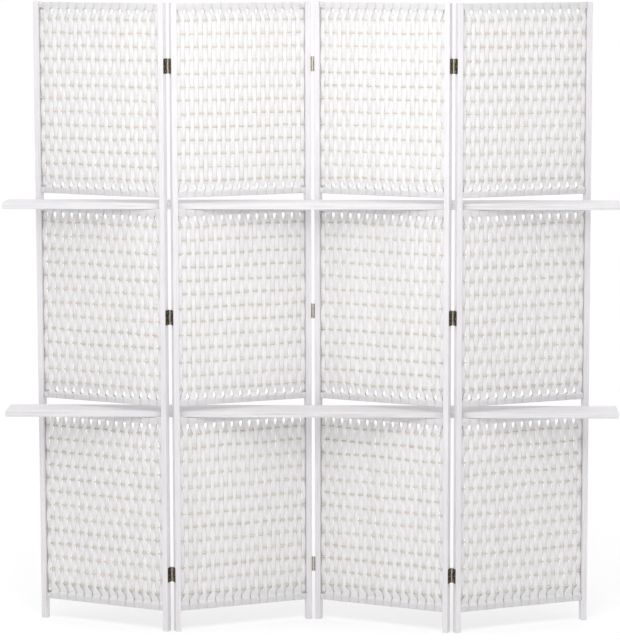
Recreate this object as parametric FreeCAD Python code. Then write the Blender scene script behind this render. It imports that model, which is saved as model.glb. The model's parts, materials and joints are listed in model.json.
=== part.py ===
"""Four-panel folding screen with woven infills and two plank shelves, standing in its zigzag.

Frame: +Z up, +X to the right seen from the front, +Y to the back, origin on the floor
at the middle of the footprint. All sizes are in millimetres, angles in degrees.
"""
import FreeCAD, Part
import math
import os

Vector = FreeCAD.Vector
UP = Vector(0, 0, 1)

# Overall sizes
HEIGHT = 1700.0
PANEL_WIDTH = 393.5
REST_ANGLE = 22.5
LEG_HEIGHT = 55.0
SLOT_HEIGHT = 32.0
TOP_SECTION_HEIGHT = 518.0
SECTION_COUNT = 3
PANEL_COUNT = 4

# Posts and rails
POST_WIDTH = 15.0
POST_DEPTH = 20.0
POST_ARRIS = 1.0
RAIL_HEIGHT = 14.0
RAIL_DEPTH = 12.0
TENON_THICKNESS = 4.0
TENON_SHOULDER = 3.0
TENON_LENGTH = 7.5
GROOVE_DEPTH = 8.0
JOINT_CLEARANCE = 0.1

# Woven infill: flat cord over square splints
CORD_THICKNESS = 1.6
SPLINT_SIZE = 4.0
SPLINT_COUNT = 13
SPLINT_SEAT = 6.0
END_SPLINT_DISTANCE = 46.5
WEAVE_CLEARANCE = 0.1
CORD_GAP_TIP = 6.0
CORD_GAP_SETBACK = 1.0
CORDS_IN_A_LOOP = 2

# Hinges
HINGE_HEIGHT = 40.0
TOP_HINGE_DROP = 167.0
MIDDLE_HINGE_HEIGHT = 860.0
BOTTOM_HINGE_HEIGHT = 156.0
KNUCKLE_RADIUS = 3.25
KNUCKLE_COUNT = 3
KNUCKLE_GAP = 0.3
KNUCKLE_SIDE_COUNT = 16
PIN_RADIUS = 1.5
PIN_SIDE_COUNT = 12
PIN_CLEARANCE = 0.05
LEAF_THICKNESS = 1.4
LEAF_WIDTH = 17.0
AXIS_OFFSET = 2.5

# Shelves
SHELF_OVERHANG = 72.5
SHELF_THICKNESS = 16.0
SHELF_ARRIS = 1.0
SHELF_SEAT_GAP = 0.3
SHELF_CLEARANCE = 0.75

# One overrun for every cut
OVERRUN = 5.0

# Cords in each panel from left to right, and how many stand left of its first gap
CORD_COUNTS = [28, 29, 29, 28]
FIRST_GAP_COUNTS = [1, 2, 1, 2]
SECTION_NAMES = ["lower", "middle", "upper"]

# Worked out from the sizes above
slots_height = (SECTION_COUNT - 1) * SLOT_HEIGHT
low_section_height = (HEIGHT - LEG_HEIGHT - slots_height - TOP_SECTION_HEIGHT) / (SECTION_COUNT - 1)
section_heights = [low_section_height] * (SECTION_COUNT - 1) + [TOP_SECTION_HEIGHT]
section_floors = [LEG_HEIGHT + n * (low_section_height + SLOT_HEIGHT) for n in range(SECTION_COUNT)]
inner_width = PANEL_WIDTH - 2 * POST_WIDTH
middle_plane = POST_DEPTH / 2
hinge_gap = 2 * KNUCKLE_RADIUS
hinge_heights = [HEIGHT - TOP_HINGE_DROP, MIDDLE_HINGE_HEIGHT, BOTTOM_HINGE_HEIGHT]
sine = math.sin(math.radians(REST_ANGLE))
cosine = math.cos(math.radians(REST_ANGLE))

# Hinge axes in a panel's own frame: behind its near end, in front of its far end
front_axis_y = -AXIS_OFFSET
back_axis_y = POST_DEPTH + AXIS_OFFSET
left_axis_x = -hinge_gap / 2
right_axis_x = PANEL_WIDTH + hinge_gap / 2

# Hinge axes in the standing screen: the middle line stands behind the two outer lines
axis_run = PANEL_WIDTH + hinge_gap
axis_step = back_axis_y - front_axis_y
line_spacing = axis_run * cosine + axis_step * sine
line_depth = axis_run * sine - axis_step * cosine
screen_depth = PANEL_WIDTH * sine + POST_DEPTH * cosine
screen_width = 2 * (line_spacing + (PANEL_WIDTH + hinge_gap / 2) * cosine + back_axis_y * sine)
shelf_length = screen_width + 2 * SHELF_OVERHANG
near_line_y = back_axis_y * cosine + left_axis_x * sine - screen_depth / 2
middle_line_y = near_line_y + line_depth


def box(size_x, size_y, size_z, x, y, z):
    return Part.makeBox(size_x, size_y, size_z, Vector(x, y, z))


def prism(points, direction):
    """Closed outline of points, drawn out along the direction."""
    outline = Part.makePolygon(points + [points[0]])
    return Part.Face(outline).extrude(direction)


def save(name, solids):
    shape = solids[0] if len(solids) == 1 else Part.makeCompound(solids)
    shape.exportStep("parts/" + name + ".step")


# Each panel: its turn, and the hinge axis it is placed by, in its own frame and in the screen
PLACES = [
    (-REST_ANGLE, (right_axis_x, back_axis_y), (-line_spacing, near_line_y)),
    (REST_ANGLE, (right_axis_x, front_axis_y), (0, middle_line_y)),
    (-REST_ANGLE, (left_axis_x, front_axis_y), (0, middle_line_y)),
    (REST_ANGLE, (left_axis_x, back_axis_y), (line_spacing, near_line_y)),
]


def stand(solids, panel):
    """Copies of solids drawn in a panel's own frame, moved to where the panel stands."""
    turn, own_axis, line = PLACES[panel]
    placed = []
    for solid in solids:
        copy = solid.copy()
        copy.translate(Vector(-own_axis[0], -own_axis[1], 0))
        copy.rotate(Vector(0, 0, 0), UP, turn)
        copy.translate(Vector(line[0], line[1], 0))
        placed.append(copy)
    return placed


def long_edges(solid, length):
    """Edges of a bar that run its whole length."""
    return [edge for edge in solid.Edges if abs(edge.Length - length) < JOINT_CLEARANCE]


# Posts

def post(side):
    """Post from floor to top, with one groove in its inner face for each section."""
    x = 0 if side == "left" else PANEL_WIDTH - POST_WIDTH
    body = box(POST_WIDTH, POST_DEPTH, HEIGHT, x, 0, 0)
    body = body.makeChamfer(POST_ARRIS, long_edges(body, HEIGHT))
    groove_width = TENON_THICKNESS + 2 * JOINT_CLEARANCE
    groove_x = POST_WIDTH - GROOVE_DEPTH if side == "left" else x - OVERRUN
    margin = CORD_THICKNESS + TENON_SHOULDER - JOINT_CLEARANCE
    for floor, height in zip(section_floors, section_heights):
        groove = box(GROOVE_DEPTH + OVERRUN, groove_width, height - 2 * margin,
                     groove_x, middle_plane - groove_width / 2, floor + margin)
        body = body.cut(groove)
    return body


# Rails

def rail(floor):
    """Rail of a section's end, with a stub tenon in each post's groove."""
    front = middle_plane - RAIL_DEPTH / 2
    bar = box(inner_width, RAIL_DEPTH, RAIL_HEIGHT, POST_WIDTH, front, floor)
    tenon = box(inner_width + 2 * TENON_LENGTH, TENON_THICKNESS, RAIL_HEIGHT - 2 * TENON_SHOULDER,
                POST_WIDTH - TENON_LENGTH, middle_plane - TENON_THICKNESS / 2, floor + TENON_SHOULDER)
    return bar.fuse(tenon).removeSplitter()


def lower_rail(section):
    return rail(section_floors[section] + CORD_THICKNESS)


def upper_rail(section):
    return rail(section_floors[section] + section_heights[section] - CORD_THICKNESS - RAIL_HEIGHT)


# Splints

def splint_pitch(section):
    return (section_heights[section] - 2 * END_SPLINT_DISTANCE) / (SPLINT_COUNT - 1)


def splint_height(section, row):
    """Middle of a section's splint, counted from its lowest."""
    return section_floors[section] + END_SPLINT_DISTANCE + row * splint_pitch(section)


def splints():
    """Square splints of all sections, their ends seated in the posts' grooves."""
    bars = []
    for section in range(SECTION_COUNT):
        for row in range(SPLINT_COUNT):
            bars.append(box(inner_width + 2 * SPLINT_SEAT, SPLINT_SIZE, SPLINT_SIZE,
                            POST_WIDTH - SPLINT_SEAT, middle_plane - SPLINT_SIZE / 2,
                            splint_height(section, row) - SPLINT_SIZE / 2))
    return bars


# Woven infill

def offset_side(points, distance):
    """Points moved sideways off a bent line of (y, z) points, with mitred corners."""
    moved = []
    for n, (y, z) in enumerate(points):
        before = points[max(n - 1, 0)]
        here = points[n]
        after = points[min(n + 1, len(points) - 1)]
        first = unit(before, here) if n > 0 else unit(here, after)
        second = unit(here, after) if n < len(points) - 1 else first
        normal_y = -(first[1] + second[1])
        normal_z = first[0] + second[0]
        size = math.hypot(normal_y, normal_z)
        cosine_half = size / 2
        reach = distance / cosine_half
        moved.append((y + reach * normal_y / size, z + reach * normal_z / size))
    return moved


def unit(start, end):
    run = (end[0] - start[0], end[1] - start[1])
    length = math.hypot(run[0], run[1])
    return (run[0] / length, run[1] / length)


def weave_line(section):
    """Middle line of one cord: round the lower rail, over and under the splints, round the upper."""
    half = CORD_THICKNESS / 2
    floor = section_floors[section]
    slope = math.atan2(SPLINT_SIZE + CORD_THICKNESS + 2 * WEAVE_CLEARANCE, splint_pitch(section))
    lean = SPLINT_SIZE / 2 * math.tan(slope)
    swing = SPLINT_SIZE / 2 + lean + half / math.cos(slope) + WEAVE_CLEARANCE
    round_rail = RAIL_DEPTH / 2 + half + WEAVE_CLEARANCE
    top = floor + section_heights[section]
    rail_inside = CORD_THICKNESS + RAIL_HEIGHT
    line = [(middle_plane + round_rail, floor + rail_inside),
            (middle_plane + round_rail, floor + half),
            (middle_plane - round_rail, floor + half),
            (middle_plane - round_rail, floor + rail_inside)]
    for row in range(SPLINT_COUNT):
        side = -1 if row % 2 == 0 else 1
        line.append((middle_plane + side * swing, splint_height(section, row)))
    line += [(middle_plane - round_rail, top - rail_inside),
             (middle_plane - round_rail, top - half),
             (middle_plane + round_rail, top - half),
             (middle_plane + round_rail, top - rail_inside)]
    return line


def cord_gaps(panel, section):
    """Pointed gaps between the cord loops, a cord wide at the rail and closed at the next splint."""
    cord_count = CORD_COUNTS[panel]
    cord_pitch = inner_width / cord_count
    floor = section_floors[section]
    top = floor + section_heights[section]
    wide_distance = CORD_THICKNESS + RAIL_HEIGHT + CORD_GAP_SETBACK
    tip_distance = END_SPLINT_DISTANCE - CORD_GAP_TIP
    ends = [(floor + wide_distance, floor + tip_distance), (top - wide_distance, top - tip_distance)]
    gaps = []
    for place in range(FIRST_GAP_COUNTS[panel], cord_count, CORDS_IN_A_LOOP):
        x = POST_WIDTH + place * cord_pitch
        for wide_z, tip_z in ends:
            corners = [Vector(x - cord_pitch / 2, -OVERRUN, wide_z),
                       Vector(x + cord_pitch / 2, -OVERRUN, wide_z),
                       Vector(x, -OVERRUN, tip_z)]
            gaps.append(prism(corners, Vector(0, POST_DEPTH + 2 * OVERRUN, 0)))
    return gaps


def infill(panel, section):
    """One section's woven band, as wide as the panel's opening."""
    line = weave_line(section)
    outline = offset_side(line, CORD_THICKNESS / 2) + offset_side(line, -CORD_THICKNESS / 2)[::-1]
    corners = [Vector(POST_WIDTH, y, z) for y, z in outline]
    band = prism(corners, Vector(inner_width, 0, 0))
    return band.cut(Part.makeCompound(cord_gaps(panel, section)))


# Hinges

def barrel(flat_radius, side_count, x, y, low, high):
    """Upright bar of equal flats, which lie at the radius from its middle line."""
    corner_radius = flat_radius / math.cos(math.pi / side_count)
    corners = []
    for n in range(side_count):
        angle = (2 * n + 1) * math.pi / side_count
        corners.append(Vector(x + corner_radius * math.cos(angle), y + corner_radius * math.sin(angle), low))
    return prism(corners, Vector(0, 0, high - low))


def knuckle_bounds(centre, index):
    """Lowest and highest point of a knuckle, counted from the bottom."""
    length = (HINGE_HEIGHT - (KNUCKLE_COUNT - 1) * KNUCKLE_GAP) / KNUCKLE_COUNT
    low = centre - HINGE_HEIGHT / 2 + index * (length + KNUCKLE_GAP)
    return low, low + length


def hinge_leaf(side, face, indexes, centre):
    """Leaf on a post's outer side, with its knuckles off the front or back face."""
    axis_x = left_axis_x if side == "left" else right_axis_x
    axis_y = back_axis_y if face == "back" else front_axis_y
    plate_x = -LEAF_THICKNESS if side == "left" else PANEL_WIDTH
    bottom = centre - HINGE_HEIGHT / 2
    plate_reach = LEAF_WIDTH + AXIS_OFFSET
    plate_y = axis_y - plate_reach if face == "back" else axis_y
    leaf = box(LEAF_THICKNESS, plate_reach, HINGE_HEIGHT, plate_x, plate_y, bottom)
    notch_reach = KNUCKLE_RADIUS + KNUCKLE_GAP
    for index in range(KNUCKLE_COUNT):
        low, high = knuckle_bounds(centre, index)
        if index in indexes:
            leaf = leaf.fuse(barrel(KNUCKLE_RADIUS, KNUCKLE_SIDE_COUNT, axis_x, axis_y, low, high))
        else:
            leaf = leaf.cut(box(LEAF_THICKNESS + 2 * OVERRUN, 2 * notch_reach,
                                high - low + 2 * KNUCKLE_GAP,
                                plate_x - OVERRUN, axis_y - notch_reach, low - KNUCKLE_GAP))
    bore = barrel(PIN_RADIUS + PIN_CLEARANCE, PIN_SIDE_COUNT, axis_x, axis_y,
                  bottom - OVERRUN, bottom + HINGE_HEIGHT + OVERRUN)
    return leaf.cut(bore).removeSplitter()


def hinge_pin(line_x, line_y, centre):
    """Pin with its corners at the pin's radius."""
    flat_radius = PIN_RADIUS * math.cos(math.pi / PIN_SIDE_COUNT)
    return barrel(flat_radius, PIN_SIDE_COUNT, line_x, line_y,
                  centre - HINGE_HEIGHT / 2, centre + HINGE_HEIGHT / 2)


# Shelves

def shelf(section):
    """Plank through the slots, between the near posts and the far posts at any fold."""
    corner_run = hinge_gap / 2 + POST_WIDTH
    front = near_line_y + corner_run * sine - AXIS_OFFSET * cosine + SHELF_CLEARANCE
    back = middle_line_y - corner_run - SHELF_CLEARANCE
    underside = section_floors[section] + section_heights[section] + SHELF_SEAT_GAP
    plank = box(shelf_length, back - front, SHELF_THICKNESS, -shelf_length / 2, front, underside)
    return plank.makeChamfer(SHELF_ARRIS, long_edges(plank, shelf_length))


# Hinge lines from left to right, each between a panel and the next: name, face they fold to, place
HINGE_LINES = [
    ("left", "back", (-line_spacing, near_line_y)),
    ("middle", "front", (0, middle_line_y)),
    ("right", "back", (line_spacing, near_line_y)),
]
outer_knuckles = range(0, KNUCKLE_COUNT, 2)
inner_knuckles = range(1, KNUCKLE_COUNT, 2)


def build_panel(panel):
    name = "panel_" + str(panel + 1)
    last = SECTION_COUNT - 1
    save(name + "_left_post", stand([post("left")], panel))
    save(name + "_right_post", stand([post("right")], panel))
    save(name + "_bottom_rail", stand([lower_rail(0)], panel))
    save(name + "_top_rail", stand([upper_rail(last)], panel))
    save(name + "_lower_slot_rails", stand([upper_rail(0), lower_rail(1)], panel))
    save(name + "_upper_slot_rails", stand([upper_rail(1), lower_rail(last)], panel))
    save(name + "_splints", stand(splints(), panel))
    for section in range(SECTION_COUNT):
        save(name + "_" + SECTION_NAMES[section] + "_infill", stand([infill(panel, section)], panel))


def build_hinge_line(left_panel, name, face, line):
    left_leaves = [hinge_leaf("right", face, outer_knuckles, z) for z in hinge_heights]
    right_leaves = [hinge_leaf("left", face, inner_knuckles, z) for z in hinge_heights]
    save("hinges_" + name + "_outer_leaves", stand(left_leaves, left_panel))
    save("hinges_" + name + "_inner_leaves", stand(right_leaves, left_panel + 1))
    save("hinges_" + name + "_pins", [hinge_pin(line[0], line[1], z) for z in hinge_heights])


def main():
    os.makedirs("parts", exist_ok=True)
    for panel in range(PANEL_COUNT):
        build_panel(panel)
    for left_panel, (name, face, line) in enumerate(HINGE_LINES):
        build_hinge_line(left_panel, name, face, line)
    save("lower_shelf", [shelf(0)])
    save("upper_shelf", [shelf(1)])


main()
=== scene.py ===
"""Looks of the folding screen: cord loops, splints, hinges, painted wood, floor, light and camera.

Lengths are in metres. A panel's own frame has X along the panel to the right, Y to the back
and Z up, with X and Y counted from the middle of its top rail. Names that end in SHARE are parts
of the size that they change.
"""
import bpy
import json
import math
import random
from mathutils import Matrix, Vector

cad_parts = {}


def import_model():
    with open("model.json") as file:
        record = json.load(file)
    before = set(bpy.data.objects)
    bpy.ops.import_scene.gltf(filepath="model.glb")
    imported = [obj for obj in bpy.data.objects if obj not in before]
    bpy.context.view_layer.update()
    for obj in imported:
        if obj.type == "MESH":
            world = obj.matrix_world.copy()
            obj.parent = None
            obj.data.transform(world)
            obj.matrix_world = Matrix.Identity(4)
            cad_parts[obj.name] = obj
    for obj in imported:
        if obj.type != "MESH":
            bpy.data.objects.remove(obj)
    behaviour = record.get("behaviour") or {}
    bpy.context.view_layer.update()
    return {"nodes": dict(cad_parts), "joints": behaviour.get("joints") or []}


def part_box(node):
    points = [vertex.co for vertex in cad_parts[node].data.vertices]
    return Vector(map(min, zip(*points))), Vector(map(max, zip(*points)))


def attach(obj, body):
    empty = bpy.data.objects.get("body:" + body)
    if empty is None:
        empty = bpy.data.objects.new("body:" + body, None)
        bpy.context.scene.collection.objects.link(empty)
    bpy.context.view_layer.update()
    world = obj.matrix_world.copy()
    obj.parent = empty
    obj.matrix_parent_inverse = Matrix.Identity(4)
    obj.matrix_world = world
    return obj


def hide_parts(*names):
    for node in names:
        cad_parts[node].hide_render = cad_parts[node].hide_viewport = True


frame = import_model()
nodes = frame["nodes"]
UP = Vector((0, 0, 1))
SEED = 7

# Sizes that the part has too
PANELS = (1, 2, 3, 4)
SECTIONS = ("lower", "middle", "upper")
CORD_COUNTS = {1: 28, 2: 29, 3: 29, 4: 28}
CORDS_BEFORE_GAP = {1: 1, 2: 2, 3: 1, 4: 2}
RIGHT_CORD_BEHIND = (1, 3)
ROWS = 13
END_SPLINT = 0.0465
SPLINT_SIZE = 0.004
SPLINT_SEAT = 0.006
RAIL_HEIGHT = 0.0140
RAIL_WRAP = 0.0016
RAIL_DEPTH = 0.012
KNUCKLES = 3
KNUCKLE_RADIUS = 0.00325
KNUCKLE_GAP = 0.0003
PIN_RADIUS = 0.0015
PIN_CLEARANCE = 0.00005
LEAF_THICKNESS = 0.0014
LEAF_WIDTH = 0.017
AXIS_OFFSET = 0.0025
HINGE_HEIGHT = 0.040

# Cords. A neck is as wide as named here, or as the cord on its rail if that is less
CORD_THICKNESS = 0.0015
CORD_SPARE = 0.0002
CORD_SWING = 0.0030
CORD_EDGE_SHARE = 0.16
RAIL_CORD_EDGE_SHARE = 0.03
FRONT_NARROWING_SHARE = 0.20
REAR_WIDENING_SHARE = 0.40
RAIL_CORD_SPARE = 0.0002
RAIL_CORD_THICKNESS = 0.0009
NECK_WIDTH = 0.0148
CLOSED_NECK_WIDTH = 0.0300
NECK_FALL = 0.0045
NECK_DEPTH = 0.0085
NECK_SWING = 0.0012
CORNER_RADIUS = 0.0018
TAIL = 0.010
CORD_REST = 0.0001
CORD_WANDER = 0.0006
PAIR_WANDER = 0.0003
WIDTH_WANDER_SHARE = 0.03
WIDTH_NOISE_START = 40
NARROWING_POWER = 4
ROW_SAMPLES = 8
CORNER_SAMPLES = 4

# Tones from 0 to 1: a dull cord's, the share of it kept on a rail as painted shade, and the metal's
LEAST_TONE = 0.7
RAIL_PAINTED_SHADE = 0.05
PLAIN_TONE = 0.5

# Where a run from rail to splint is sampled, counted from the rail
RUN_IN_DROPS = (0.0016, 0.0035, 0.0055, 0.0080, 0.0110, 0.0150, 0.0190, 0.0230, 0.0270)

# Noise along cords and splints, as a sum of waves
NOISE_WAVES = 3
NOISE_RATES = (0.3, 1.4)
NOISE_SIZES = (0.3, 0.6)

# Splints
SPLINT_CORNER_SHARE = 0.55
SPLINT_STATIONS = 24
SPLINT_BEND = 0.0002
SPLINT_WANDER = 0.0015
SPLINT_THINNING_SHARE = 0.06
SIZE_NOISE_START = 9
STATION_STEP = 0.5

# Hinge details
KNUCKLE_CHAMFER = 0.0003
KNUCKLE_SIDES = 28
LEAF_CORNER = 0.0020
LEAF_CORNER_STEPS = 4
SCREW_RADIUS = 0.0021
SCREW_RISE = 0.0003
SCREW_REACHES = (0.0085, 0.0145, 0.0085)
SCREW_HEIGHTS = (-0.0135, 0.0, 0.0135)
SCREW_SIDES = 16
SCREW_TOP_SHARE = 0.95
SLOT_ANGLE = 0.22
PIN_SIDES = 24
PIN_DOME = 0.0005
PIN_CORE = 0.00005
DOME_RADIUS_SHARE = 0.6
DOME_HEIGHT_SHARE = 0.8

# Colours. A pair has the dark one first
WHITE = (1.0, 1.0, 1.0)
CORD_FIBRES = ((0.745, 0.733, 0.73), (0.80, 0.79, 0.79))
# Crease colour: painted shade in the cord's folds
CORD_CREASE_SHADE = (0.965, 0.96, 0.955)
# Cords' colour on the rails: painted shade on the wraps
RAIL_CORD_PAINTED_SHADE = (0.955, 0.95, 0.955)
DULL_CORD_TONE = (0.945, 0.94, 0.935)
SPLINT_GRAIN = ((0.62, 0.575, 0.48), (0.82, 0.77, 0.675))
SPLINT_TONE = (0.88, 0.87, 0.84)
POST_PAINT = ((0.70, 0.68, 0.695), (0.79, 0.77, 0.785))
RAIL_PAINT = ((0.72, 0.705, 0.715), (0.80, 0.785, 0.795))
SHELF_PAINT = ((0.62, 0.605, 0.605), (0.76, 0.745, 0.755))
BRUSHED = (0.95, 0.95, 0.96)
WORN = (0.82, 0.79, 0.75)
BRONZE_METAL = ((0.085, 0.070, 0.048), (0.21, 0.175, 0.12))
BRASS_METAL = ((0.44, 0.41, 0.35), (0.70, 0.66, 0.58))
FLOOR_CLOUD = ((0.94, 0.94, 0.945), (0.96, 0.96, 0.96))
FLOOR_LIFT = 0.5

# Grain runs along the axis with the small number
UPRIGHT_GRAIN = (260.0, 260.0, 9.0)
LEVEL_GRAIN = (9.0, 260.0, 260.0)
PLANK_GRAIN = (5.0, 190.0, 190.0)

# Light
WORLD_FRONT, WORLD_BACK, WORLD_AZIMUTH = 0.725, 0.54, -42.0
SKY_COLOUR = (0.985, 0.985, 1.0, 1)
SUN_AZIMUTH, SUN_ELEVATION = -15.0, 84.0
SUN_STRENGTH, SUN_SPREAD = 1.4, 70.0
SOFTBOX_PLACE, SOFTBOX_TARGET = (-0.07, -1.4, 1.95), (0, 0, 1.3)
SOFTBOX_WIDTH, SOFTBOX_HEIGHT, SOFTBOX_POWER = 0.9, 0.8, 10.2

# Floor and camera
FLOOR_SIZE = 300.0
FRAME_WIDTH, FRAME_HEIGHT = 620, 640
CAMERA_PLACE = (0.2692, -7.2434, 1.8829)
CAMERA_YAW = -1.10
CAMERA_PITCH = -7.07
FOCAL_PIXELS = 2706.4
CENTRE_PIXEL = (360.2, 268.7)
SENSOR = 36.0
CLIP_END = 400.0


def mean(vectors):
    return sum(vectors, Vector()) / len(vectors)


class Panel:
    """A panel's own frame, read from its top rail."""

    def __init__(self, number):
        self.number = number
        self.name = f"panel_{number}"
        points = [v.co.copy() for v in nodes[self.name + "_top_rail"].data.vertices]
        middle = (min(p.x for p in points) + max(p.x for p in points)) / 2
        left = mean([p for p in points if p.x < middle])
        right = mean([p for p in points if p.x >= middle])
        self.along = Vector((right.x - left.x, right.y - left.y, 0)).normalized()
        self.back = UP.cross(self.along)
        self.origin = Vector(((left.x + right.x) / 2, (left.y + right.y) / 2, 0))
        band = nodes[self.name + "_upper_infill"].data.vertices
        self.half_opening = max(abs((v.co - self.origin).dot(self.along)) for v in band)

    def place(self, x, y, z):
        return self.origin + self.along * x + self.back * y + UP * z

    def turn(self):
        return math.atan2(self.along.y, self.along.x)


panels = {n: Panel(n) for n in PANELS}


# Node materials

def new_material(name, roughness, metallic=0.0):
    material = bpy.data.materials.new(name)
    material.use_nodes = True
    tree = material.node_tree
    shader = tree.nodes["Principled BSDF"]
    shader.inputs["Roughness"].default_value = roughness
    shader.inputs["Metallic"].default_value = metallic
    return material, tree, shader


def add(tree, kind, **values):
    node = tree.nodes.new(kind)
    for key, value in values.items():
        if key in node.inputs:
            node.inputs[key].default_value = value
        else:
            setattr(node, key, value)
    return node


def link(tree, source, output, target, inlet):
    tree.links.new(source.outputs[output], target.inputs[inlet])


def ramp(tree, source, output, stops):
    """Colour ramp over a value, its stops given as (place, colour)."""
    node = tree.nodes.new("ShaderNodeValToRGB")
    link(tree, source, output, node, "Fac")
    elements = node.color_ramp.elements
    while len(elements) < len(stops):
        elements.new(0.5)
    for element, (place, colour) in zip(elements, stops):
        element.position = place
        element.color = (*colour, 1)
    return node


def mapped(tree, source, output, turn, scale):
    """Coordinates turned about Z and then scaled, for a pattern that runs along a piece."""
    rotate = add(tree, "ShaderNodeVectorRotate", rotation_type="Z_AXIS")
    rotate.inputs["Angle"].default_value = -turn
    link(tree, source, output, rotate, "Vector")
    stretch = add(tree, "ShaderNodeVectorMath", operation="MULTIPLY")
    stretch.inputs[1].default_value = scale
    link(tree, rotate, "Vector", stretch, 0)
    return stretch


def mix(tree, kind, factor, first, second):
    """Mix of two colours."""
    node = add(tree, "ShaderNodeMix", data_type="RGBA", blend_type=kind)
    node.inputs[0].default_value = factor
    link(tree, first, "Color" if "Color" in first.outputs else "Result", node, 6)
    link(tree, second, "Color" if "Color" in second.outputs else "Result", node, 7)
    return node


def bump(tree, shader, source, output, strength, distance):
    node = add(tree, "ShaderNodeBump")
    node.inputs["Strength"].default_value = strength
    node.inputs["Distance"].default_value = distance
    link(tree, source, output, node, "Height")
    link(tree, node, "Normal", shader, "Normal")


def painted_wood(name, turn, stretch, paint):
    """White paint over open grain, rubbed thin at the pores."""
    dark, light = paint
    material, tree, shader = new_material(name, 0.55)
    shader.inputs["Specular IOR Level"].default_value = 0.35
    place = add(tree, "ShaderNodeTexCoord")
    grain_place = mapped(tree, place, "Object", turn, stretch)
    grain = add(tree, "ShaderNodeTexNoise", Scale=1.0, Detail=6.0, Roughness=0.62, Distortion=0.4)
    link(tree, grain_place, "Vector", grain, "Vector")
    pores = add(tree, "ShaderNodeTexNoise", Scale=5.0, Detail=3.0, Roughness=0.5)
    link(tree, grain_place, "Vector", pores, "Vector")
    cloud = add(tree, "ShaderNodeTexNoise", Scale=7.0, Detail=2.0)
    link(tree, place, "Object", cloud, "Vector")
    fill = ramp(tree, grain, "Fac", [(0.30, dark), (0.52, light), (1.0, light)])
    brush = ramp(tree, cloud, "Fac", [(0.35, BRUSHED), (0.65, WHITE)])
    coat = mix(tree, "MULTIPLY", 1.0, fill, brush)
    rub = ramp(tree, pores, "Fac", [(0.0, WORN), (0.27, WORN), (0.34, WHITE), (1.0, WHITE)])
    final = mix(tree, "MULTIPLY", 0.5, coat, rub)
    tree.links.new(final.outputs["Result"], shader.inputs["Base Color"])
    bump(tree, shader, grain, "Fac", 0.35, 0.0006)
    return material


def cord_material():
    """Flat paper cord: fibres along its length, slanting creases with painted shade in them, a tone for
    each loop, and painted shade on its wraps round the rails.
    """
    material, tree, shader = new_material("woven_cord_look", 0.8)
    shader.inputs["Specular IOR Level"].default_value = 0.2
    shader.inputs["Sheen Weight"].default_value = 0.15
    shader.inputs["Subsurface Weight"].default_value = 0.5
    shader.inputs["Subsurface Radius"].default_value = (1.0, 1.0, 1.0)
    shader.inputs["Subsurface Scale"].default_value = 0.004
    place = add(tree, "ShaderNodeTexCoord")
    fibre_place = mapped(tree, place, "UV", 0.0, (1500.0, 60.0, 1.0))
    fibres = add(tree, "ShaderNodeTexNoise", Scale=1.0, Detail=4.0, Roughness=0.6, Distortion=0.3)
    link(tree, fibre_place, "Vector", fibres, "Vector")
    crease_place = mapped(tree, place, "UV", 0.35, (160.0, 420.0, 1.0))
    creases = add(tree, "ShaderNodeTexNoise", Scale=1.0, Detail=2.0, Roughness=0.5)
    link(tree, crease_place, "Vector", creases, "Vector")
    pale = ramp(tree, fibres, "Fac", [(0.25, CORD_FIBRES[0]), (0.6, CORD_FIBRES[1])])
    # Darker creases: painted shade in the folds, beside their bump
    fold = ramp(tree, creases, "Fac", [(0.30, CORD_CREASE_SHADE), (0.55, WHITE)])
    body = mix(tree, "MULTIPLY", 1.0, pale, fold)
    tone = add(tree, "ShaderNodeAttribute", attribute_name="tone")
    # The lowest stop is painted shade, which the cords reach where they wrap the rails
    tones = ramp(tree, tone, "Fac", [(0.0, RAIL_CORD_PAINTED_SHADE), (0.6, DULL_CORD_TONE), (1.0, WHITE)])
    final = mix(tree, "MULTIPLY", 1.0, body, tones)
    tree.links.new(final.outputs["Result"], shader.inputs["Base Color"])
    height = mix(tree, "MIX", 0.4, fibres, creases)
    bump(tree, shader, height, "Result", 0.25, 0.0004)
    return material


def splint_material():
    """Bare splints with darker streaks along the grain and a tone for each."""
    material, tree, shader = new_material("splint_wood_look", 0.65)
    place = add(tree, "ShaderNodeTexCoord")
    grain_place = mapped(tree, place, "UV", 0.0, (900.0, 14.0, 1.0))
    grain = add(tree, "ShaderNodeTexNoise", Scale=1.0, Detail=5.0, Roughness=0.6)
    link(tree, grain_place, "Vector", grain, "Vector")
    wood = ramp(tree, grain, "Fac", [(0.3, SPLINT_GRAIN[0]), (0.7, SPLINT_GRAIN[1])])
    tone = add(tree, "ShaderNodeAttribute", attribute_name="tone")
    tones = ramp(tree, tone, "Fac", [(0.0, SPLINT_TONE), (1.0, WHITE)])
    final = mix(tree, "MULTIPLY", 1.0, wood, tones)
    tree.links.new(final.outputs["Result"], shader.inputs["Base Color"])
    bump(tree, shader, grain, "Fac", 0.3, 0.0003)
    return material


def worn_metal(name, metal, roughness):
    """Metal with a rubbed, cloudy finish."""
    material, tree, shader = new_material(name, roughness, 0.9)
    place = add(tree, "ShaderNodeTexCoord")
    cloud = add(tree, "ShaderNodeTexNoise", Scale=160.0, Detail=5.0, Roughness=0.65)
    link(tree, place, "Object", cloud, "Vector")
    colour = ramp(tree, cloud, "Fac", [(0.38, metal[0]), (0.68, metal[1])])
    tree.links.new(colour.outputs["Color"], shader.inputs["Base Color"])
    rough = add(tree, "ShaderNodeMapRange")
    rough.inputs["To Min"].default_value = roughness - 0.1
    rough.inputs["To Max"].default_value = roughness + 0.15
    link(tree, cloud, "Fac", rough, "Value")
    link(tree, rough, "Result", shader, "Roughness")
    bump(tree, shader, cloud, "Fac", 0.2, 0.0002)
    return material


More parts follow.
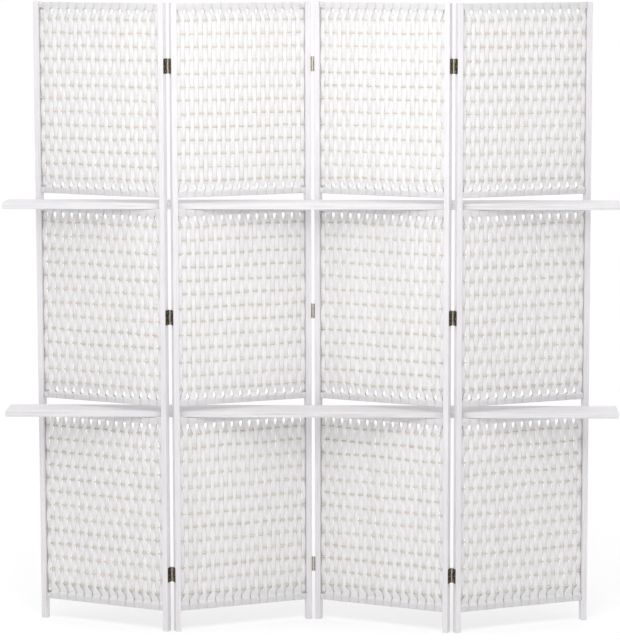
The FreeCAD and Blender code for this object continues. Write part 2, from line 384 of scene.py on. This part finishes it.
def seen_rays(tree):
    """1 for a ray that shows the background: from the camera, off a gloss or through glass."""
    rays = add(tree, "ShaderNodeLightPath")
    direct = add(tree, "ShaderNodeMath", operation="MAXIMUM")
    link(tree, rays, "Is Camera Ray", direct, 0)
    link(tree, rays, "Is Glossy Ray", direct, 1)
    seen = add(tree, "ShaderNodeMath", operation="MAXIMUM")
    link(tree, direct, "Value", seen, 0)
    link(tree, rays, "Is Transmission Ray", seen, 1)
    return seen


def floor_material():
    """Pale floor, lifted part of the way to the background's white where it is seen."""
    material, tree, shader = new_material("floor_look", 0.85)
    shader.inputs["Specular IOR Level"].default_value = 0.05
    place = add(tree, "ShaderNodeTexCoord")
    cloud = add(tree, "ShaderNodeTexNoise", Scale=1.5, Detail=3.0)
    link(tree, place, "Object", cloud, "Vector")
    pale = ramp(tree, cloud, "Fac", [(0.3, FLOOR_CLOUD[0]), (0.7, FLOOR_CLOUD[1])])
    tree.links.new(pale.outputs["Color"], shader.inputs["Base Color"])
    white = add(tree, "ShaderNodeEmission", Strength=1.0)
    share = add(tree, "ShaderNodeMath", operation="MULTIPLY")
    share.inputs[1].default_value = FLOOR_LIFT
    link(tree, seen_rays(tree), "Value", share, 0)
    both = add(tree, "ShaderNodeMixShader")
    link(tree, share, "Value", both, "Fac")
    tree.links.new(shader.outputs["BSDF"], both.inputs[1])
    tree.links.new(white.outputs["Emission"], both.inputs[2])
    tree.links.new(both.outputs["Shader"], tree.nodes["Material Output"].inputs["Surface"])
    return material


looks = {
    "cord": cord_material(),
    "splint": splint_material(),
    "post": painted_wood("post_wood_look", 0.0, UPRIGHT_GRAIN, POST_PAINT),
    "shelf": painted_wood("shelf_wood_look", 0.0, PLANK_GRAIN, SHELF_PAINT),
    "bronze": worn_metal("hinge_metal_look", BRONZE_METAL, 0.45),
    "brass": worn_metal("hinge_pin_metal_look", BRASS_METAL, 0.32),
    "floor": floor_material(),
}
rail_looks = {
    n: painted_wood(f"rail_wood_look_{n}", panels[n].turn(), LEVEL_GRAIN, RAIL_PAINT) for n in PANELS
}


# Meshes

def mesh_object(name, points, faces, uvs, tones, materials, face_materials=None, smooth=True):
    mesh = bpy.data.meshes.new(name)
    mesh.from_pydata(points, [], faces)
    for material in materials:
        mesh.materials.append(material)
    if uvs:
        layer = mesh.uv_layers.new(name="UVMap")
        for loop in mesh.loops:
            layer.data[loop.index].uv = uvs[loop.vertex_index]
    if tones:
        mesh.attributes.new("tone", "FLOAT", "POINT").data.foreach_set("value", tones)
    if face_materials:
        mesh.polygons.foreach_set("material_index", face_materials)
    mesh.polygons.foreach_set("use_smooth", [smooth] * len(mesh.polygons))
    mesh.update()
    thing = bpy.data.objects.new(name, mesh)
    bpy.context.scene.collection.objects.link(thing)
    return thing


class Builder:
    """Points and faces of one mesh, gathered from many swept bars."""

    def __init__(self):
        self.points, self.faces, self.uvs, self.tones = [], [], [], []

    def sweep(self, rings, around, tone, closed, painted_shades=None):
        """Joins rings of points, each given with its place along the bar.

        around holds the points' places across the bar, and the last argument the rings' shares of the
        tone: painted shade on a cord where it wraps a rail.
        """
        start = len(self.points)
        size = len(rings[0][0])
        for n, (ring, length) in enumerate(rings):
            for point, side in zip(ring, around):
                self.points.append(point)
                self.uvs.append((side, length))
                self.tones.append(tone * (painted_shades[n] if painted_shades else 1.0))
        count = len(rings)
        for n in range(count if closed else count - 1):
            here, there = start + n * size, start + (n + 1) % count * size
            for k in range(size):
                after = (k + 1) % size
                self.faces.append((here + k, here + after, there + after, there + k))
        if not closed:
            last = start + (count - 1) * size
            self.faces.append(tuple(range(start + size - 1, start - 1, -1)))
            self.faces.append(tuple(range(last, last + size)))


# Woven cords

def smooth_step(t):
    return t * t * (3 - 2 * t)


def blend(a, b, t):
    return a + (b - a) * t


def cord_profile(edge):
    """Flat cord's section, as shares of its half width and half thickness, with edges that thin out."""
    flat = 1 - edge
    return [(-1.0, 0.0), (-flat, 0.78), (-0.40, 1.0), (0.0, 0.86), (0.40, 1.0), (flat, 0.78),
            (1.0, 0.0), (flat, -0.78), (0.40, -1.0), (0.0, -0.86), (-0.40, -1.0), (-flat, -0.78)]


class Section:
    """One woven section's places in its panel's own frame, and the paths of its cords."""

    def __init__(self, panel, name):
        low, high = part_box(f"{panel.name}_{name}_infill")
        self.floor, self.top = low[2], high[2]
        self.pitch = (self.top - self.floor - 2 * END_SPLINT) / (ROWS - 1)
        self.first = self.floor + END_SPLINT
        self.last = self.top - END_SPLINT
        lift = RAIL_CORD_THICKNESS / 2 + CORD_REST
        self.reach = RAIL_DEPTH / 2 + lift
        self.floor_line = self.floor + RAIL_WRAP - lift
        self.top_line = self.top - RAIL_WRAP + lift
        self.inner = RAIL_WRAP + RAIL_HEIGHT
        self.half_opening = panel.half_opening
        self.low_neck = CLOSED_NECK_WIDTH if name == SECTIONS[0] else NECK_WIDTH

    def run_in(self, side, column, rail_x, rail_width, neck, width, share, outer, rail, splint):
        """Points (x, y, z, width, thickness) from a rail's outer edge to the outermost splint.

        The cord is spread over the rail and falls to a neck. From there it goes to its column's
        place and width, and to the share of it that the splint leaves.
        """
        points = []
        for z in (outer, (outer + rail) / 2, rail):
            points.append((rail_x, side * self.reach, z, rail_width, RAIL_CORD_THICKNESS))
        run = abs(splint - rail)
        for drop in RUN_IN_DROPS:
            fallen = smooth_step(min(1.0, drop / NECK_FALL))
            pinched = smooth_step(min(1.0, drop / NECK_DEPTH))
            bulged = smooth_step(max(0.0, drop - NECK_DEPTH) / (run - NECK_DEPTH))
            parted = smooth_step(max(0.0, drop - NECK_FALL) / (run - NECK_FALL))
            points.append((blend(rail_x, column, parted),
                           side * blend(blend(self.reach, NECK_SWING, pinched), CORD_SWING, bulged),
                           blend(rail, splint, drop / run),
                           blend(blend(rail_width, neck, fallen), width, parted)
                           * blend(1.0, share, bulged ** NARROWING_POWER),
                           blend(RAIL_CORD_THICKNESS, CORD_THICKNESS, fallen)))
        return points

    def strand(self, side, column, rail_x, rail_width, width, noise):
        """Points of one cord from the lower rail's outer edge to the upper's.

        It is narrower where it passes in front of a splint, and wider behind one unless a post is
        beside it.
        """
        low_rail, high_rail = self.floor + self.inner, self.top - self.inner
        beside_post = abs(column) + width > self.half_opening
        widening = 0.0 if beside_post else REAR_WIDENING_SHARE
        share = 1 + widening if side > 0 else 1 - FRONT_NARROWING_SHARE
        points = self.run_in(side, column, rail_x, rail_width, min(self.low_neck, rail_width),
                             width, share, self.floor_line + CORNER_RADIUS, low_rail, self.first)
        for n in range((ROWS - 1) * ROW_SAMPLES + 1):
            rows = n / ROW_SAMPLES
            swing = side * CORD_SWING * math.cos(math.pi * rows)
            in_front = max(0.0, -swing / CORD_SWING) ** NARROWING_POWER
            behind = max(0.0, swing / CORD_SWING) ** NARROWING_POWER
            spread = (1 - FRONT_NARROWING_SHARE * in_front + widening * behind
                      + WIDTH_WANDER_SHARE * noise(rows + WIDTH_NOISE_START))
            points.append((column + noise(rows) * CORD_WANDER, swing, self.first + self.pitch * rows,
                           width * spread, CORD_THICKNESS))
        points += self.run_in(side, column, rail_x, rail_width, min(NECK_WIDTH, rail_width),
                              width, share, self.top_line - CORNER_RADIUS, high_rail, self.last)[::-1]
        return points

    def over(self, side, x_from, x_to, rail_width, z_line, outward):
        """Points round a rail's outer edge, from one side to the other."""
        corner = []
        flat = self.reach - CORNER_RADIUS
        for n in range(CORNER_SAMPLES):
            angle = (n + 1) / CORNER_SAMPLES * math.pi / 2
            y = side * (flat + CORNER_RADIUS * math.cos(angle))
            corner.append((y, z_line - outward * CORNER_RADIUS * (1 - math.sin(angle))))
        path = corner + [(0.0, z_line)] + [(-y, z) for y, z in reversed(corner)]
        points = []
        for n, (y, z) in enumerate(path):
            t = smooth_step((n + 1) / (len(path) + 1))
            points.append((blend(x_from, x_to, t), y, z, rail_width, RAIL_CORD_THICKNESS))
        return points


def wobble(rng):
    """Smooth noise along a cord, between about -1 and 1."""
    waves = [(rng.uniform(*NOISE_RATES), rng.uniform(0, math.tau), rng.uniform(*NOISE_SIZES))
             for _ in range(NOISE_WAVES)]
    return lambda t: sum(size * math.sin(rate * t + phase) for rate, phase, size in waves)


def ribbon(builder, panel, path, rng, closed):
    """Sweeps the flat section along (x, y, z, width, thickness) points of a panel's own frame."""
    count = len(path)
    rings, painted_shades, length = [], [], 0.0
    for n, (x, y, z, width, thickness) in enumerate(path):
        before = path[(n - 1) % count] if closed or n > 0 else path[n]
        after = path[(n + 1) % count] if closed or n < count - 1 else path[n]
        run = Vector((after[0] - before[0], after[1] - before[1], after[2] - before[2])).normalized()
        normal = Vector((0, -run.z, run.y)).normalized()
        across = run.cross(normal)
        if n > 0:
            length += (Vector(path[n][:3]) - Vector(path[n - 1][:3])).length
        spread = (CORD_THICKNESS - thickness) / (CORD_THICKNESS - RAIL_CORD_THICKNESS)
        profile = cord_profile(blend(CORD_EDGE_SHARE, RAIL_CORD_EDGE_SHARE, spread))
        ring = []
        for side, lift in profile:
            offset = across * (side * width / 2) + normal * (lift * thickness / 2)
            ring.append(panel.place(x + offset.x, y + offset.y, z + offset.z))
        rings.append((ring, length))
        # Painted shade: the tone falls from the weave towards the rail wraps as the cord thins
        painted_shades.append(blend(1.0, RAIL_PAINTED_SHADE, spread))
    around = [side * NECK_WIDTH / 2 for side, _ in cord_profile(CORD_EDGE_SHARE)]
    builder.sweep(rings, around, blend(LEAST_TONE, 1.0, rng.random()), closed, painted_shades)


def weave(panel, name):
    """All cords of one section: loops of a front and a rear strand, with lone strands at the sides."""
    rng = random.Random(f"{SEED} {panel.name} {name}")
    section = Section(panel, name)
    count = CORD_COUNTS[panel.number]
    pair_first = CORDS_BEFORE_GAP[panel.number] == 2
    pitch = 2 * panel.half_opening / count
    columns = [-panel.half_opening + pitch * (n + 0.5) for n in range(count)]
    width = pitch - CORD_SPARE
    behind_is_right = panel.number in RIGHT_CORD_BEHIND
    builder = Builder()
    n = 0
    while n < count:
        if n + 1 < count and (n > 0 or pair_first):
            front, rear = (n, n + 1) if behind_is_right else (n + 1, n)
            middle = (columns[n] + columns[n + 1]) / 2
            front_x = middle + rng.uniform(-PAIR_WANDER, PAIR_WANDER)
            rear_x = middle + rng.uniform(-PAIR_WANDER, PAIR_WANDER)
            spread = 2 * pitch - RAIL_CORD_SPARE
            up = section.strand(-1, columns[front], front_x, spread, width, wobble(rng))
            down = section.strand(1, columns[rear], rear_x, spread, width, wobble(rng))[::-1]
            path = up + section.over(-1, front_x, rear_x, spread, section.top_line, 1)
            path += down + section.over(1, rear_x, front_x, spread, section.floor_line, -1)
            ribbon(builder, panel, path, rng, True)
            n += 2
        else:
            in_front = behind_is_right == (n > 0)
            side = -1 if in_front else 1
            rail_x, spread = columns[n], pitch - RAIL_CORD_SPARE
            strand = section.strand(side, columns[n], rail_x, spread, width, wobble(rng))
            over = section.over(side, rail_x, rail_x, spread, section.top_line, 1)
            tail = [(rail_x, -side * section.reach, section.top_line - CORNER_RADIUS - TAIL,
                     spread, RAIL_CORD_THICKNESS)]
            under = section.over(side, rail_x, rail_x, spread, section.floor_line, -1)[::-1]
            lead = [(rail_x, -side * section.reach, section.floor_line + CORNER_RADIUS + TAIL,
                     spread, RAIL_CORD_THICKNESS)]
            ribbon(builder, panel, lead + under + strand + over + tail, rng, False)
            n += 1
    thing = mesh_object(f"{panel.name}_{name}_cords", builder.points, builder.faces, builder.uvs,
                        builder.tones, [looks["cord"]])
    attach(thing, panel.name)
    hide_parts(f"{panel.name}_{name}_infill")


# Splints

def splints(panel):
    """Slightly uneven split bars, seated in the posts."""
    rng = random.Random(f"{SEED} {panel.name} splints")
    builder = Builder()
    half = SPLINT_SIZE / 2
    corner = half * SPLINT_CORNER_SHARE
    profile = [(-half, -corner), (-half, corner), (-corner, half), (corner, half),
               (half, corner), (half, -corner), (corner, -half), (-corner, -half)]
    reach = panel.half_opening + SPLINT_SEAT
    for name in SECTIONS:
        section = Section(panel, name)
        for row in range(ROWS):
            centre = section.first + row * section.pitch
            bend_y, bend_z = wobble(rng), wobble(rng)
            rings = []
            for n in range(SPLINT_STATIONS + 1):
                x = blend(-reach, reach, n / SPLINT_STATIONS)
                y = SPLINT_BEND * bend_y(n * STATION_STEP)
                z = centre + SPLINT_WANDER * bend_z(n * STATION_STEP)
                size = 1 - SPLINT_THINNING_SHARE * abs(bend_y(n + SIZE_NOISE_START))
                ring = [panel.place(x, y + a * size, z + b * size) for a, b in profile]
                rings.append((ring, x + reach))
            builder.sweep(rings, [k * half for k in range(len(profile))], rng.random(), False)
    thing = mesh_object(f"{panel.name}_split_bars", builder.points, builder.faces, builder.uvs,
                        builder.tones, [looks["splint"]])
    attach(thing, panel.name)
    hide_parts(f"{panel.name}_splints")


# Carried-over wood

def dress(node, material):
    """Gives a CAD solid its material and nothing else."""
    node.data.materials.clear()
    node.data.materials.append(material)


for number, panel in panels.items():
    for side in ("left", "right"):
        dress(nodes[f"{panel.name}_{side}_post"], looks["post"])
    for rail in ("bottom_rail", "top_rail", "lower_slot_rails", "upper_slot_rails"):
        dress(nodes[f"{panel.name}_{rail}"], rail_looks[number])
    for name in SECTIONS:
        weave(panel, name)
    splints(panel)
for shelf in ("upper_shelf", "lower_shelf"):
    dress(nodes[shelf], looks["shelf"])


# Hinges: each line's joint, the panel on its left, the side that it stands on and its pins' body
HINGE_LINES = {
    "left": ("fold_panel_1", 1, "back", "panel_2"),
    "middle": ("fold", 2, "front", "middle_hinge_pins"),
    "right": ("fold_panel_4", 3, "back", "panel_3"),
}
BRONZE, BRASS = 0, 1


class Hardware(Builder):
    """Parts of small metal fittings, each face with its material."""

    def __init__(self):
        super().__init__()
        self.kinds = []

    def mark(self, kind):
        self.kinds += [kind] * (len(self.faces) - len(self.kinds))

    def lathe(self, profile, place, sides, kind=0):
        """Turns a closed outline of (radius, height) points round an upright axis."""
        rings = []
        for n in range(sides):
            angle = math.tau * n / sides
            ring = [place(r * math.cos(angle), r * math.sin(angle), z) for r, z in profile]
            rings.append((ring, angle))
        self.sweep(rings, [0.0] * len(profile), PLAIN_TONE, True)
        self.mark(kind)

    def slab(self, outline, low, high, kind):
        """Closed plate between the points that low and high give for an outline of (u, z)."""
        start, size = len(self.points), len(outline)
        for put in (low, high):
            for u, z in outline:
                self.points.append(put(u, z))
                self.uvs.append((u, z))
                self.tones.append(PLAIN_TONE)
        self.faces.append(tuple(range(start, start + size)))
        self.faces.append(tuple(range(start + 2 * size - 1, start + size - 1, -1)))
        for k in range(size):
            after = (k + 1) % size
            self.faces.append((start + k, start + size + k, start + size + after, start + after))
        self.mark(kind)


def axis_place(joint_name):
    """X and Y of a hinge line's axis."""
    joint = next(j for j in frame["joints"] if j["name"] == joint_name)
    return joint["pos_m"][:2]


def hinge_heights(line):
    """Middle heights of the line's hinges, from the gaps between the pins' heights."""
    heights = sorted({round(v.co.z, 5) for v in nodes[f"hinges_{line}_pins"].data.vertices})
    return [(low + high) / 2 for low, high in zip(heights[::2], heights[1::2])]


def knuckle_spans():
    """Lower and upper ends of a hinge's knuckles, counted from its middle height."""
    length = (HINGE_HEIGHT - (KNUCKLES - 1) * KNUCKLE_GAP) / KNUCKLES
    starts = [-HINGE_HEIGHT / 2 + n * (length + KNUCKLE_GAP) for n in range(KNUCKLES)]
    return [(low, low + length) for low in starts]


def leaf_outline(own):
    """Leaf seen from its side: u away from the axis, z up, notched for the other leaf's knuckles."""
    half, reach = HINGE_HEIGHT / 2, LEAF_WIDTH + AXIS_OFFSET
    notch = KNUCKLE_RADIUS + KNUCKLE_GAP
    points = []
    for index, (low, high) in enumerate(knuckle_spans()):
        u = 0.0 if index in own else notch
        spare = 0.0 if index in own else KNUCKLE_GAP
        points += [(u, max(low - spare, -half)), (u, min(high + spare, half))]
    quarter = math.pi / 2
    for sign, start in ((1, quarter), (-1, 0.0)):
        for step in range(LEAF_CORNER_STEPS + 1):
            angle = start - step * quarter / LEAF_CORNER_STEPS
            points.append((reach - LEAF_CORNER + LEAF_CORNER * math.cos(angle),
                           sign * (half - LEAF_CORNER) + LEAF_CORNER * math.sin(angle)))
    return points


def leaf_set(line, side, set_name, own):
    """All leaves of one side of a hinge line: plates, knuckles and screws."""
    joint_name, left_panel, face, _ = HINGE_LINES[line]
    panel = panels[left_panel if side == "left" else left_panel + 1]
    axis = Vector((*axis_place(joint_name), 0)) - panel.origin
    axis_x, axis_y = axis.dot(panel.along), axis.dot(panel.back)
    inward = -1 if side == "left" else 1
    away = -1 if face == "back" else 1
    outer, bore, cut = KNUCKLE_RADIUS, PIN_RADIUS + PIN_CLEARANCE, KNUCKLE_CHAMFER
    metal = Hardware()
    for height in hinge_heights(line):
        def put(depth):
            return lambda u, z: panel.place(axis_x + inward * depth, axis_y + away * u, height + z)

        def turned(x, y, z):
            return panel.place(axis_x + x, axis_y + y, height + z)

        metal.slab(leaf_outline(own), put(outer), put(outer - LEAF_THICKNESS), BRONZE)
        for low, high in (knuckle_spans()[k] for k in own):
            profile = [(bore, low), (outer - cut, low), (outer, low + cut), (outer, high - cut),
                       (outer - cut, high), (bore, high)]
            metal.lathe(profile, turned, KNUCKLE_SIDES, BRASS)
        for u, z in zip(SCREW_REACHES, SCREW_HEIGHTS):
            screw_head(metal, put, u, z)
    thing = mesh_object(f"hinges_{line}_{set_name}_fittings", metal.points, metal.faces, metal.uvs,
                        metal.tones, [looks["bronze"], looks["brass"]], metal.kinds, smooth=False)
    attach(thing, panel.name)
    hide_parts(f"hinges_{line}_{set_name}_leaves")


def arc(u, z, radius, start, sweep, steps):
    """Points of an arc round (u, z), both of its ends among them."""
    angles = [start + sweep * k / steps for k in range(steps + 1)]
    return [(u + radius * math.cos(angle), z + radius * math.sin(angle)) for angle in angles]


def screw_head(metal, put, u, z):
    """Low head with a straight slot: two half discs over a whole one."""
    plate = KNUCKLE_RADIUS - LEAF_THICKNESS
    base, seat, top = put(plate), put(plate - SCREW_RISE / 2), put(plate - SCREW_RISE)
    metal.slab(arc(u, z, SCREW_RADIUS, 0.0, math.tau, SCREW_SIDES)[:-1], base, seat, BRASS)
    for turn in (0.0, math.pi):
        half_disc = arc(u, z, SCREW_RADIUS * SCREW_TOP_SHARE, turn + SLOT_ANGLE,
                        math.pi - 2 * SLOT_ANGLE, SCREW_SIDES // 2)
        metal.slab(half_disc, seat, top, BRASS)


def pins(line):
    """The line's pins, with domed ends."""
    joint_name, _, _, body = HINGE_LINES[line]
    x, y = axis_place(joint_name)
    half = HINGE_HEIGHT / 2
    ends = [(PIN_CORE, half + PIN_DOME),
            (PIN_RADIUS * DOME_RADIUS_SHARE, half + PIN_DOME * DOME_HEIGHT_SHARE),
            (PIN_RADIUS, half)]
    profile = [(radius, -z) for radius, z in ends] + ends[::-1]
    metal = Hardware()
    for height in hinge_heights(line):
        metal.lathe(profile, lambda a, b, z: Vector((x + a, y + b, height + z)), PIN_SIDES)
    thing = mesh_object(f"hinges_{line}_pin_rods", metal.points, metal.faces, metal.uvs, metal.tones,
                        [looks["brass"]], smooth=False)
    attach(thing, body)
    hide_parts(f"hinges_{line}_pins")


for line in HINGE_LINES:
    leaf_set(line, "left", "outer", (0, 2))
    leaf_set(line, "right", "inner", (1,))
    pins(line)


# Floor, light and camera

def floor():
    half = FLOOR_SIZE / 2
    corners = [(-half, -half, 0), (half, -half, 0), (half, half, 0), (-half, half, 0)]
    thing = mesh_object("floor", corners, [(0, 1, 2, 3)], None, None, [looks["floor"]], smooth=False)


def sun(name, azimuth, elevation, strength, spread):
    """Soft light from that side. Azimuth 0 shines from the front, 90 from the right."""
    lamp = bpy.data.lights.new(name, "SUN")
    lamp.energy = strength
    lamp.angle = math.radians(spread)
    thing = bpy.data.objects.new(name, lamp)
    bpy.context.scene.collection.objects.link(thing)
    a, e = math.radians(azimuth), math.radians(elevation)
    source = Vector((math.sin(a) * math.cos(e), -math.cos(a) * math.cos(e), math.sin(e)))
    thing.rotation_mode = "QUATERNION"
    thing.rotation_quaternion = source.to_track_quat("Z", "Y")


def softbox(name, place, target, width, height, power):
    lamp = bpy.data.lights.new(name, "AREA")
    lamp.shape = "RECTANGLE"
    lamp.size, lamp.size_y = width, height
    lamp.energy = power
    thing = bpy.data.objects.new(name, lamp)
    bpy.context.scene.collection.objects.link(thing)
    thing.location = place
    thing.rotation_mode = "QUATERNION"
    thing.rotation_quaternion = (Vector(place) - Vector(target)).to_track_quat("Z", "Y")
    thing.visible_camera = False


def world(front, back, azimuth):
    """Studio light, stronger from the front, with a white background where the camera looks."""
    scene_world = bpy.data.worlds.new("studio")
    bpy.context.scene.world = scene_world
    scene_world.use_nodes = True
    tree = scene_world.node_tree
    tree.nodes.clear()
    sky = add(tree, "ShaderNodeBackground", Color=SKY_COLOUR)
    place = add(tree, "ShaderNodeTexCoord")
    facing = add(tree, "ShaderNodeVectorMath", operation="DOT_PRODUCT")
    angle = math.radians(azimuth)
    facing.inputs[1].default_value = (math.sin(angle), -math.cos(angle), 0)
    link(tree, place, "Generated", facing, 0)
    power = add(tree, "ShaderNodeMapRange")
    power.inputs["From Min"].default_value = -1.0
    power.inputs["To Min"].default_value = back
    power.inputs["To Max"].default_value = front
    link(tree, facing, "Value", power, "Value")
    link(tree, power, "Result", sky, "Strength")
    white = add(tree, "ShaderNodeBackground", Color=(1, 1, 1, 1), Strength=1.0)
    blend_node = add(tree, "ShaderNodeMixShader")
    link(tree, seen_rays(tree), "Value", blend_node, "Fac")
    tree.links.new(sky.outputs[0], blend_node.inputs[1])
    tree.links.new(white.outputs[0], blend_node.inputs[2])
    out = add(tree, "ShaderNodeOutputWorld")
    tree.links.new(blend_node.outputs[0], out.inputs["Surface"])


def camera():
    """Camera before the screen, its lens and its shift counted in the frame's pixels."""
    lens = bpy.data.cameras.new("photo_camera")
    long_side = max(FRAME_WIDTH, FRAME_HEIGHT)
    lens.sensor_width = SENSOR
    lens.lens = FOCAL_PIXELS / long_side * SENSOR
    lens.shift_x = (FRAME_WIDTH / 2 - CENTRE_PIXEL[0]) / long_side
    lens.shift_y = (CENTRE_PIXEL[1] - FRAME_HEIGHT / 2) / long_side
    lens.clip_end = CLIP_END
    thing = bpy.data.objects.new("photo_camera", lens)
    bpy.context.scene.collection.objects.link(thing)
    thing.location = CAMERA_PLACE
    yaw, pitch = math.radians(CAMERA_YAW), math.radians(CAMERA_PITCH)
    look = Vector((math.sin(yaw) * math.cos(pitch), math.cos(yaw) * math.cos(pitch), math.sin(pitch)))
    thing.rotation_mode = "QUATERNION"
    thing.rotation_quaternion = look.to_track_quat("-Z", "Y")
    bpy.context.scene.camera = thing


floor()
world(WORLD_FRONT, WORLD_BACK, WORLD_AZIMUTH)
sun("overhead", SUN_AZIMUTH, SUN_ELEVATION, SUN_STRENGTH, SUN_SPREAD)
softbox("front_box", SOFTBOX_PLACE, SOFTBOX_TARGET, SOFTBOX_WIDTH, SOFTBOX_HEIGHT, SOFTBOX_POWER)
camera()
bpy.context.scene.view_settings.view_transform = "Standard"
